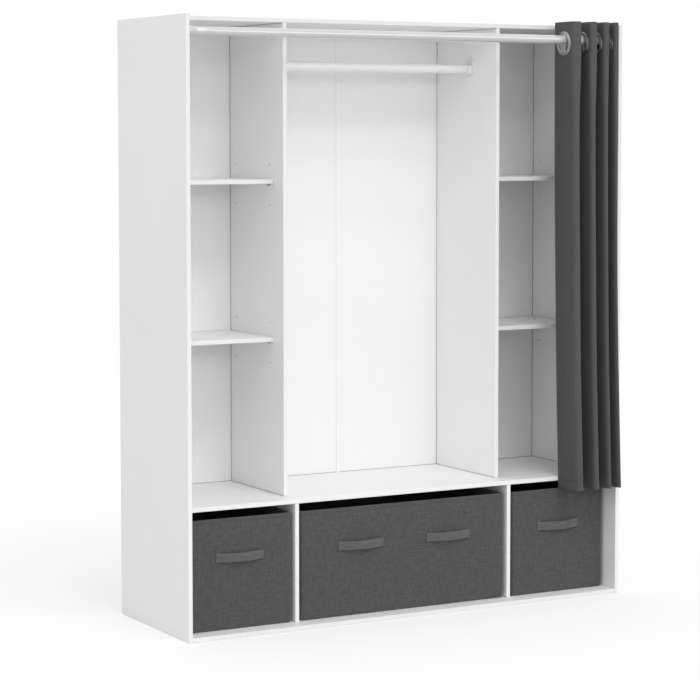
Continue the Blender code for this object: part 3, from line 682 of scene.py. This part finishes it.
def cloth_columns():
    """The cloth's columns, (x, distance behind the rod, x on a rounder wave), and each flat part's first."""
    starts = []
    edge = FOLD_DEPTH / 2
    last = len(EYELETS) - 1
    low, high = EYELETS[0].x, EYELETS[last].x
    columns = [(low, edge + (FLAT - edge) * step / EDGE_STEPS, low) for step in range(EDGE_STEPS)]
    for number, eyelet in enumerate(EYELETS):
        turn = flank_turn(number)
        before = 0 if number == 0 else (eyelet.x - EYELETS[number - 1].x) / 2
        after = 0 if number == last else (EYELETS[number + 1].x - eyelet.x) / 2
        starts.append(len(columns))
        for cell in range(CELLS + 1):
            along = FLAT * (2 * cell / CELLS - 1)
            columns.append((eyelet.x, turn * along, eyelet.x + wave_shift(along, before, after)))
        if number == last:
            continue
        for step in range(1, FOLD_STEPS):
            angle = pi * step / FOLD_STEPS
            reach = FLAT + (edge - FLAT) * sin(angle)
            shift = wave_shift(reach, after, after)
            if step > FOLD_STEPS / 2:
                shift = 2 * after - shift
            x = eyelet.x + after * (1 - cos(angle))
            columns.append((x, turn * reach, eyelet.x + shift))
    steps = range(1, EDGE_STEPS + 1)
    columns += [(high, FLAT + (edge - FLAT) * step / EDGE_STEPS, high) for step in steps]
    return columns, starts


def cloth_heights():
    """Heights of the cloth's rows of points, from the header's top to the lower hem."""
    top, hem = CLOTH_HIGH.z, CLOTH_LOW.z
    eyelet_z = EYELETS[0].z
    rows = [top + (eyelet_z + FLAT - top) * row / HEADER_ROWS for row in range(HEADER_ROWS)]
    rows += [eyelet_z + FLAT * (1 - 2 * cell / CELLS) for cell in range(CELLS + 1)]
    start = rows[-1]
    sewn = hem + HEM
    rows += [start + (sewn + HEM_ROW - start) * row / BODY_ROWS for row in range(1, BODY_ROWS + 1)]
    rows += [sewn, sewn - HEM_ROW, hem + HEM / 2, hem + HEM_ROW, hem]
    return rows


def cloth_point(column, z):
    """Flat at the eyelets, rounder below, and forward over the middle shelf. It wanders more lower down."""
    x, behind, wave_x = column
    eyelet_z = EYELETS[0].z
    lean_from = eyelet_z - LEAN_START
    drop = max(0.0, (lean_from - z) / (lean_from - CLOTH_LOW.z))
    turn = min(1.0, max(0.0, (abs(eyelet_z - z) - FLAT) / ROUND_OVER))
    x += ROUNDING * turn * turn * (3 - 2 * turn) * (wave_x - x)
    wander = WANDER * min(1.0, drop * 2)
    x += wander * noise.noise(Vector((x * 9, behind * 14, z * 2.3)))
    y = ROD_MIDDLE.y + behind - LEAN * drop**2
    y += wander * (noise.noise(Vector((x * 11 + 5, 3.0, z * 1.9))) - 0.15)
    return Vector((x, y, z))


def shape_hole(points, eyelet, turn, start):
    """Makes the flat cloth's inner square a round hole by moving its points. Gives the hole's cells."""
    for row in range(CELLS + 1):
        for cell in range(CELLS + 1):
            p, q = 2 * cell / CELLS - 1, 1 - 2 * row / CELLS
            reach = max(abs(p), abs(q))
            if reach < HOLE_SHARE:
                continue
            square = Vector((p, q)) / reach
            circle = square.normalized() * (HOLE / FLAT)
            moved = circle.lerp(square, (reach - HOLE_SHARE) / HOLE_SHARE) * FLAT
            place = Vector((eyelet.x, eyelet.y + turn * moved.x, eyelet.z + moved.y))
            points[HEADER_ROWS + row][start + cell] = place
    inner = range(CELLS // 4, CELLS - CELLS // 4)
    return {(HEADER_ROWS + row, start + cell) for row in inner for cell in inner}


def cloth_thickness(row, z, along, width, gripped):
    """Thin in the eyelets' rows where the cloth is gripped, double in the hems."""
    if gripped and HEADER_ROWS <= row <= HEADER_ROWS + CELLS:
        return GRIPPED_CLOTH
    in_hem = z <= CLOTH_LOW.z + HEM - HEM_ROW / 2
    in_side_hem = not SIDE_HEM < along < width - SIDE_HEM
    return SEWN_CLOTH if in_hem or in_side_hem else CLOTH


def curtain_sheet():
    """One sheet of cloth with round holes for its eyelets, as two skins with a doubled hem."""
    columns, starts = cloth_columns()
    rows = cloth_heights()
    count = len(columns)
    run = distances(columns, closed=False)
    width = run[-1]
    points = [[cloth_point(column, z) for column in columns] for z in rows]
    holes = set()
    for number, start in enumerate(starts):
        holes |= shape_hole(points, EYELETS[number], flank_turn(number), start)
    flat = [point for row in points for point in row]
    faces, uvs = [], []
    for row in range(len(rows) - 1):
        for i in range(count - 1):
            if (row, i) not in holes:
                faces.append(face(i, i + 1, row * count, (row + 1) * count))
                uvs += [(run[number % count], flat[number].z) for number in faces[-1]]
    mesh = mesh_from("curtain", flat, faces, uvs)
    piece = new_piece("curtain", mesh, [curtain_look(width, rows[-1])])

    fullness = piece.vertex_groups.new(name="fullness")
    gripped = {start + cell for start in starts for cell in range(CELLS + 1)}
    for row, z in enumerate(rows):
        for i in range(count):
            thickness = cloth_thickness(row, z, run[i], width, i in gripped)
            share = (thickness - GRIPPED_CLOTH) / (SEWN_CLOTH - GRIPPED_CLOTH)
            fullness.add([row * count + i], share, "REPLACE")
    skins = piece.modifiers.new("skins", "SOLIDIFY")
    skins.thickness = SEWN_CLOTH
    skins.offset = 0
    skins.vertex_group = "fullness"
    skins.thickness_vertex_group = GRIPPED_CLOTH / SEWN_CLOTH
    settle(piece)
    with edited(piece.data) as shape:
        bmesh.ops.delete(shape, geom=[v for v in shape.verts if not v.link_faces], context="VERTS")
    return piece, width, rows[0] - rows[-1]


def eyelet_rings(look):
    """Rings of two pressed plates with a raised bead at the bore and at the rim."""
    half = [(PLATE_OUT + out, BORE + up) for out, up in BEADS] + list(RIM)
    profile = half + [(-along, radius) for along, radius in reversed(half)]
    rings = []
    for number, centre in enumerate(EYELETS, start=1):
        node = f"curtain_eyelet_{number}"
        ring = turned(f"eyelet_ring_{number}", centre, 0, profile, look, closed=True)
        rings.append(attach(ring, node))
    return rings


def hang_curtain():
    curtain, width, length = curtain_sheet()
    rings = eyelet_rings(eyelet_look())
    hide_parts("curtain_cloth")
    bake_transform(curtain)


# Fabric boxes


def wall_outline(low, high, inset, radius):
    """(x, y, way outwards, crown) of points round a box. The crown is 1 mid-wall and 0 at a wall's ends."""
    half_x = (high.x - low.x) / 2 - HEM_BULGE - inset
    half_y = (high.y - low.y) / 2 - HEM_BULGE - inset
    centre = (low + high) / 2
    straight_x, straight_y = half_x - radius, half_y - radius
    cells_x = round((high.x - low.x) / CELL)
    cells_y = round((high.y - low.y) / CELL)
    outline = []
    for number, (out_x, out_y) in enumerate(((0, -1), (1, 0), (0, 1), (-1, 0))):
        start_x, end_x = (out_x * half_x + turn * out_y * straight_x for turn in (1, -1))
        start_y, end_y = (out_y * half_y + turn * out_x * straight_y for turn in (-1, 1))
        cells = cells_y if out_x else cells_x
        for cell in range(cells + 1):
            share = cell / cells
            x = start_x + (end_x - start_x) * share
            y = start_y + (end_y - start_y) * share
            outline.append((centre.x + x, centre.y + y, Vector((out_x, out_y, 0)), arch(share)))
        corner_x = centre.x + copysign(straight_x, end_x)
        corner_y = centre.y + copysign(straight_y, end_y)
        for step in range(1, CORNER_STEPS):
            angle = pi / 2 * (number - 1 + step / CORNER_STEPS)
            away = Vector((cos(angle), sin(angle), 0))
            outline.append((corner_x + radius * away.x, corner_y + radius * away.y, away, 0.0))
    return outline


def arch(share):
    """0 at both ends and 1 in the middle."""
    return 4 * share * (1 - share)


def box_rings(low, high):
    """(inset, z, hollow) of each ring of a box, from its foot to the floor inside."""
    base, rim = low.z, high.z
    hem = rim - BOX_HEM
    angles = [pi / 2 * step / FOOT_STEPS for step in range(FOOT_STEPS + 1)]
    rings = [(BOX_FOOT * (1 - sin(angle)), base + BOX_FOOT * (1 - cos(angle)), 0) for angle in angles]
    shares = [step / WALL_STEPS for step in range(1, WALL_STEPS)]
    rings += [(0, base + BOX_FOOT + (hem - base - BOX_FOOT) * share, arch(share)) for share in shares]
    rings += [(inset, hem + up, 0) for inset, up in HEM_FOOT]
    rings += [(inset, rim + up, 0) for inset, up in HEM_HEAD]
    inner = base + BOX_WALL
    shares = [step / INSIDE_STEPS for step in range(INSIDE_STEPS + 1)]
    return rings + [(BOX_WALL, rim - RIM_DROP + (inner - rim + RIM_DROP) * share, 0) for share in shares]


def wall_point(x, y, z, away, crown, hollow):
    """A point of a wall, which is drawn in towards the wall's middle and a little uneven."""
    place = Vector((x, y, z))
    dent = WALL_HOLLOW * hollow * crown
    if crown:
        dent += WALL_WAVE * hollow * crown**0.3 * (0.5 + noise.noise(place * 12))
    return place - away * max(0.0, dent)


def box_skin(name, looks):
    """Cloth over board: four soft walls, a folded hem at the rim, a rounded foot and a lined inside."""
    low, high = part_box(f"{name}_shell")
    rings = box_rings(low, high)
    points, faces, uvs, kinds, runs = [], [], [], [], []
    for inset, z, hollow in rings:
        radius = max(BOX_CORNER - max(inset, 0), BOX_CORNER - BOX_WALL)
        outline = wall_outline(low, high, inset, radius)
        points += [wall_point(x, y, z, away, crown, hollow) for x, y, away, crown in outline]
        runs.append(distances(outline))
    count = len(outline)
    for ring in range(len(rings) - 1):
        run = runs[ring]
        level, next_level = rings[ring][1], rings[ring + 1][1]
        if abs(next_level - level) < 0.0001:
            next_level = level + RIM_CLOTH
        for i in range(count):
            faces.append(face(ring * count, (ring + 1) * count, i, (i + 1) % count))
            uvs += corners(level, next_level, run[i], run[i + 1])
            kinds.append(int(rings[ring][0] == BOX_WALL))
    last = (len(rings) - 1) * count
    for cap, kind in ((range(count)[::-1], 0), (range(last, last + count), 1)):
        faces.append(list(cap))
        uvs += [(points[i].x, points[i].y) for i in cap]
        kinds.append(kind)
    mesh = mesh_from(name + "_skin", points, faces, uvs, kinds)
    attach(new_piece(name + "_skin", mesh, looks, BOX_SHARP), f"{name}_shell")


def strap_section(half):
    """Points (out, up) round a strap: flat, with folded round edges."""
    edge = STRAP / 2
    flat = half - edge
    turns = [(side, pi * step / 6) for side in (1, -1) for step in range(7)]
    return [(-edge + side * edge * cos(turn), side * (flat + edge * sin(turn))) for side, turn in turns]


def strap(node, looks):
    """A folded strap of cloth, bowed out between its ends, with a sewn square at each."""
    low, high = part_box(node)
    centre = (low + high) / 2
    length = high.x - low.x
    free = length - 2 * TAB
    back = high.y
    half = (high.z - low.z - SAG) / 2
    level = high.z - half
    ends = [length / 2 - place for place in STRAP_ENDS]
    stations = [-end for end in ends]
    stations += [free * (step / STRAP_STEPS - 0.5) for step in range(STRAP_STEPS + 1)]
    stations += ends[::-1]
    section = strap_section(half)
    count = len(section)
    rims = distances(section)
    points, faces, uvs = [], [], []
    for along in stations:
        rise = BOW * max(0.0, 1 - (2 * along / free) ** 2)
        narrow = min(1.0, 1 + NARROWING * sin(along * 60))
        for out, up in section:
            curl = -CURL * (rise / BOW) * (1 - (up / half) ** 2)
            y, z = back - rise + out + curl, level - SAG * rise / BOW + up * narrow
            points.append(Vector((centre.x + along, y, z)))
    run = distances([(point.x, 0.0) for point in points[::count]], closed=False)
    for i in range(len(stations) - 1):
        for j in range(count):
            faces.append(face(j, (j + 1) % count, i * count, (i + 1) * count))
            uvs += corners(rims[j], rims[j + 1], run[i], run[i + 1])
    for base in (0, (len(stations) - 1) * count):
        cap = [base + j for j in range(count)]
        faces.append(cap if base == 0 else cap[::-1])
        uvs += [(points[i].y, points[i].z) for i in faces[-1]]
    kinds = [0] * len(faces)
    for side in (-1, 1):
        tab = Vector((centre.x + side * (length / 2 - TAB / 2), back - STRAP, level))
        sew_square(points, faces, uvs, kinds, tab, half)
    mesh = mesh_from(node + "_strap", points, faces, uvs, kinds)
    attach(new_piece(node + "_strap", mesh, looks, SHARP), node)


def sew_square(points, faces, uvs, kinds, centre, half):
    """Stitches round the sewn end of a strap, each a short thread that lies in the cloth."""
    wide, high = TAB / 2 - SQUARE_MARGINS[0], half - SQUARE_MARGINS[1]
    square = [Vector(corner) for corner in corners(-high, high, -wide, wide)]
    for start, end in zip(square, square[1:] + square[:1]):
        number = round(dist(start, end) / STRAP_STITCH)
        for stitch in range(number):
            first = start.lerp(end, (stitch + 0.14) / number)
            second = start.lerp(end, (stitch + 0.86) / number)
            add_thread(points, faces, uvs, kinds, centre, first, second)


def add_thread(points, faces, uvs, kinds, centre, first, second):
    """One stitch between two places, (x, z) from the square's centre. It is thinner where it dives in."""
    base = len(points)
    along = (second - first).normalized()
    side = Vector((-along.y, along.x))
    for share, size in THREAD_FORM:
        spot = first.lerp(second, share)
        for step in range(THREAD_SIDES):
            angle = tau * step / THREAD_SIDES
            across = side * (THREAD * size * cos(angle))
            out = THREAD * size * sin(angle)
            points.append(centre + Vector((spot.x + across.x, -THREAD_SINK - out, spot.y + across.y)))
    for ring in range(len(THREAD_FORM) - 1):
        row = base + ring * THREAD_SIDES
        for step in range(THREAD_SIDES):
            after = (step + 1) % THREAD_SIDES
            faces.append(face(row, row + THREAD_SIDES, step, after))
            cell = corners(ring * 0.001, ring * 0.001 + 0.001, step * 0.0003, after * 0.0003)
            uvs += [(u, v) for v, u in cell]
            kinds.append(1)


def fabric_boxes():
    linen = linen_look("box_linen", BOX_LINEN, pitch=0.0011, contrast=0.29)
    lining = felt_look("box_lining", LINING_FELT)
    tape = linen_look("strap_linen", STRAP_LINEN, pitch=0.0009, contrast=0.22)
    thread = thread_look()
    for side in ("left", "centre", "right"):
        box_skin(f"box_{side}", [linen, lining])
    for handle in ("left_handle", "right_handle", "centre_handle_left", "centre_handle_right"):
        strap(f"box_{handle}", [tape, thread])


# Tubes, boards and small fasteners


def smooth_tube(node, look):
    low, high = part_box(node)
    half = (high.x - low.x) / 2
    radius = (high.z - low.z) / 2
    end = [(half - SOFT_EDGE, radius), (half, radius - SOFT_EDGE), (half, radius - 0.001)]
    profile = [(-along, reach) for along, reach in reversed(end)]
    profile += [(half * share, radius) for share in (-0.9, -0.5, 0.0, 0.5, 0.9)]
    attach(turned(node + "_fine", (low + high) / 2, 0, profile + end, look), node)


def wall_at(node, side):
    """Where the side panel meets a socket, along X, and the direction from there into the wardrobe."""
    low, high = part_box(node)
    return (low.x, 1) if side == "left" else (high.x, -1)


def rod_socket(side, look, steel):
    """Flange and sleeve in one turned piece, with a grub screw in the sleeve."""
    node = f"curtain_rod_socket_{side}"
    wall, inwards = wall_at(node, side)
    profile = [(inwards * along, radius) for along, radius in ROD_SOCKET]
    centre = Vector((wall, ROD_MIDDLE.y, ROD_MIDDLE.z))
    attach(turned(node + "_fine", centre, 0, profile, look), node)
    from_wall, from_axis = GRUB_SCREW_PLACE
    spot = Vector((wall + inwards * from_wall, ROD_MIDDLE.y + from_axis, ROD_MIDDLE.z))
    attach(turned(f"grub_screw_{side}", spot, 1, GRUB_SCREW, steel))


def flange_screws(side, look):
    """Two countersunk screws beside a cup of the clothes rail."""
    node = f"clothes_rail_socket_{side}"
    low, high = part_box(node)
    wall, inwards = wall_at(node, side)
    from_wall, from_middle, below_top = RAIL_SCREW_PLACE
    profile = [(inwards * out, radius) for out, radius in RAIL_SCREW]
    for along, name in ((-from_middle, "front"), (from_middle, "rear")):
        spot = Vector((wall + inwards * from_wall, (low.y + high.y) / 2 + along, high.z - below_top))
        attach(turned(f"rail_screw_{side}_{name}", spot, 0, profile, look))


def even_steps(places, count):
    """Places at even steps between the first and the last of these."""
    return [places[0] + (places[-1] - places[0]) * (step + 0.5) / count for step in range(count)]


def nail_places():
    """(x, z) of the nails, in rows over the boards that they enter and only on the back sheets."""
    uprights = ("side_panel_left", "upper_divider_left", "upper_divider_right", "side_panel_right")
    xs = [middle(board).x for board in uprights]
    zs = [middle(board).z for board in ("bottom_panel", "middle_shelf", "top_panel")]
    across, up = NAIL_MARGINS
    places = [(x, z) for x in xs for z in even_steps(zs, NAILS_UP)]
    places += [(x, z) for z in zs for x in even_steps(xs, NAILS_ACROSS)]
    sheets = [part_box(f"back_sheet_{side}") for side in ("left", "right")]
    return [
        (x, z) for x, z in places
        if any(low.x + across < x < high.x - across and low.z + up < z < high.z - up for low, high in sheets)
    ]


def back_nails(look):
    """The heads of the small nails that hold the back sheets."""
    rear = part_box("back_sheet_left")[1].y
    points, faces = [], []
    for x, z in nail_places():
        base = len(points)
        for out, radius in NAIL:
            for step in range(NAIL_SIDES):
                angle = tau * step / NAIL_SIDES
                points.append((x + radius * cos(angle), rear + out, z + radius * sin(angle)))
        for row in range(base, len(points) - NAIL_SIDES, NAIL_SIDES):
            for step in range(NAIL_SIDES):
                faces.append(face(row, row + NAIL_SIDES, (step + 1) % NAIL_SIDES, step))
        faces.append(list(range(len(points) - NAIL_SIDES, len(points)))[::-1])
    mesh = mesh_from("back_nails", points, faces)
    attach(new_piece("back_nails", mesh, [look], SHARP))


def cover(nodes, look):
    for node in nodes:
        mesh = frame["nodes"][node].data
        mesh.materials.clear()
        mesh.materials.append(look)


def dress_boards():
    """The glue line lies just behind a board's front edge, so boards with the same one share a material."""
    made = {}
    for node in sorted(node for node in frame["nodes"] if node.startswith(BOARDS)):
        front = round(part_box(node)[0].y, 4)
        if front not in made:
            made[front] = board_look(f"white_board_{len(made) + 1}", front)
        cover([node], made[front])
    cover(["back_sheet_left", "back_sheet_right"], hardboard_look())


def dress_fittings():
    plastic, zinc = plastic_look("white_plastic", RAIL_SOCKET_PLASTIC), zinc_look()
    sleeve_plastic_painted_shade = plastic_look("sleeve_plastic_painted_shade", ROD_SOCKET_PLASTIC_PAINTED_SHADE)
    strip_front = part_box("back_joint_strip")[0].y
    cover(["back_joint_strip"], board_look("white_strip", strip_front, lined=False))
    cover([node for node in frame["nodes"] if node.startswith("shelf_pin")], zinc)
    base_boards = [f"box_{side}_base_board" for side in ("left", "centre", "right")]
    cover(base_boards, felt_look("grey_board", BASE_BOARD_FELT))
    smooth_tube("curtain_rod", tube_look("rod_coat_painted_shade", ROD_COAT_PAINTED_SHADE, coat=1.0))
    smooth_tube("clothes_rail", tube_look("rail_coat_painted_light", RAIL_COAT_PAINTED_LIGHT, coat=0.3))
    for side in ("left", "right"):
        rod_socket(side, sleeve_plastic_painted_shade, zinc)
        rail_socket(f"clothes_rail_socket_{side}", plastic)
    for side in ("left", "right"):
        flange_screws(side, plastic)
    back_nails(zinc)


# Studio


def camera():
    data = bpy.data.cameras.new("camera")
    data.sensor_width = CAMERA_SENSOR
    data.lens = CAMERA_LENS
    data.shift_x, data.shift_y = CAMERA_SHIFT
    data.clip_end = 50
    eye = placed("camera", data)
    eye.location = CAMERA_PLACE
    eye.rotation_euler = (radians(90 - CAMERA_DOWN), 0, radians(CAMERA_TURN))
    bpy.context.scene.camera = eye


def lamp(name, place, target, size, power, gloss_alone=False):
    """An area lamp. One for gloss alone shows in reflections and lights nothing."""
    data = bpy.data.lights.new(name, "AREA")
    data.shape = "RECTANGLE"
    data.size, data.size_y = size
    data.energy = power
    light = placed(name, data)
    light.visible_diffuse = not gloss_alone
    light.location = place
    light.rotation_euler = (Vector(target) - Vector(place)).to_track_quat("-Z", "Y").to_euler()


def world():
    """Soft light from all round. The camera, gloss and glass see plain white."""
    sky = Paint("studio_sky", world=True)
    path = sky.add("LightPath", {}).node.outputs
    seen = sky.largest(path["Is Camera Ray"], path["Is Glossy Ray"])
    seen = sky.largest(seen, path["Is Transmission Ray"])
    bpy.context.scene.world = sky.finish(Color=WHITE, Strength=sky.mix_values(seen, SKY, 1.0))


def studio():
    camera()
    world()
    lamp("key", (-0.2, -3.7, 5.1), target=(0, 0, 0.6), size=(2.5, 1.5), power=72)
    lamp("low", (-0.6, -6.0, 2.3), target=(0, 0, 0.8), size=(3.0, 0.8), power=38)
    lamp("gleam", (3.1, -5.75, 3.1), target=(0, -0.2, 1.6), size=(2.6, 2.2), power=38, gloss_alone=True)
    points = [(*corner, FLOOR_LEVEL) for corner in corners(*FLOOR_REACH, *FLOOR_REACH)]
    mesh = mesh_from("floor", points, [(0, 1, 2, 3)])
    new_piece("floor", mesh, [floor_look()], smooth=False)
    bpy.context.scene.view_settings.view_transform = "Standard"


studio()
hang_curtain()
fabric_boxes()
dress_boards()
dress_fittings()
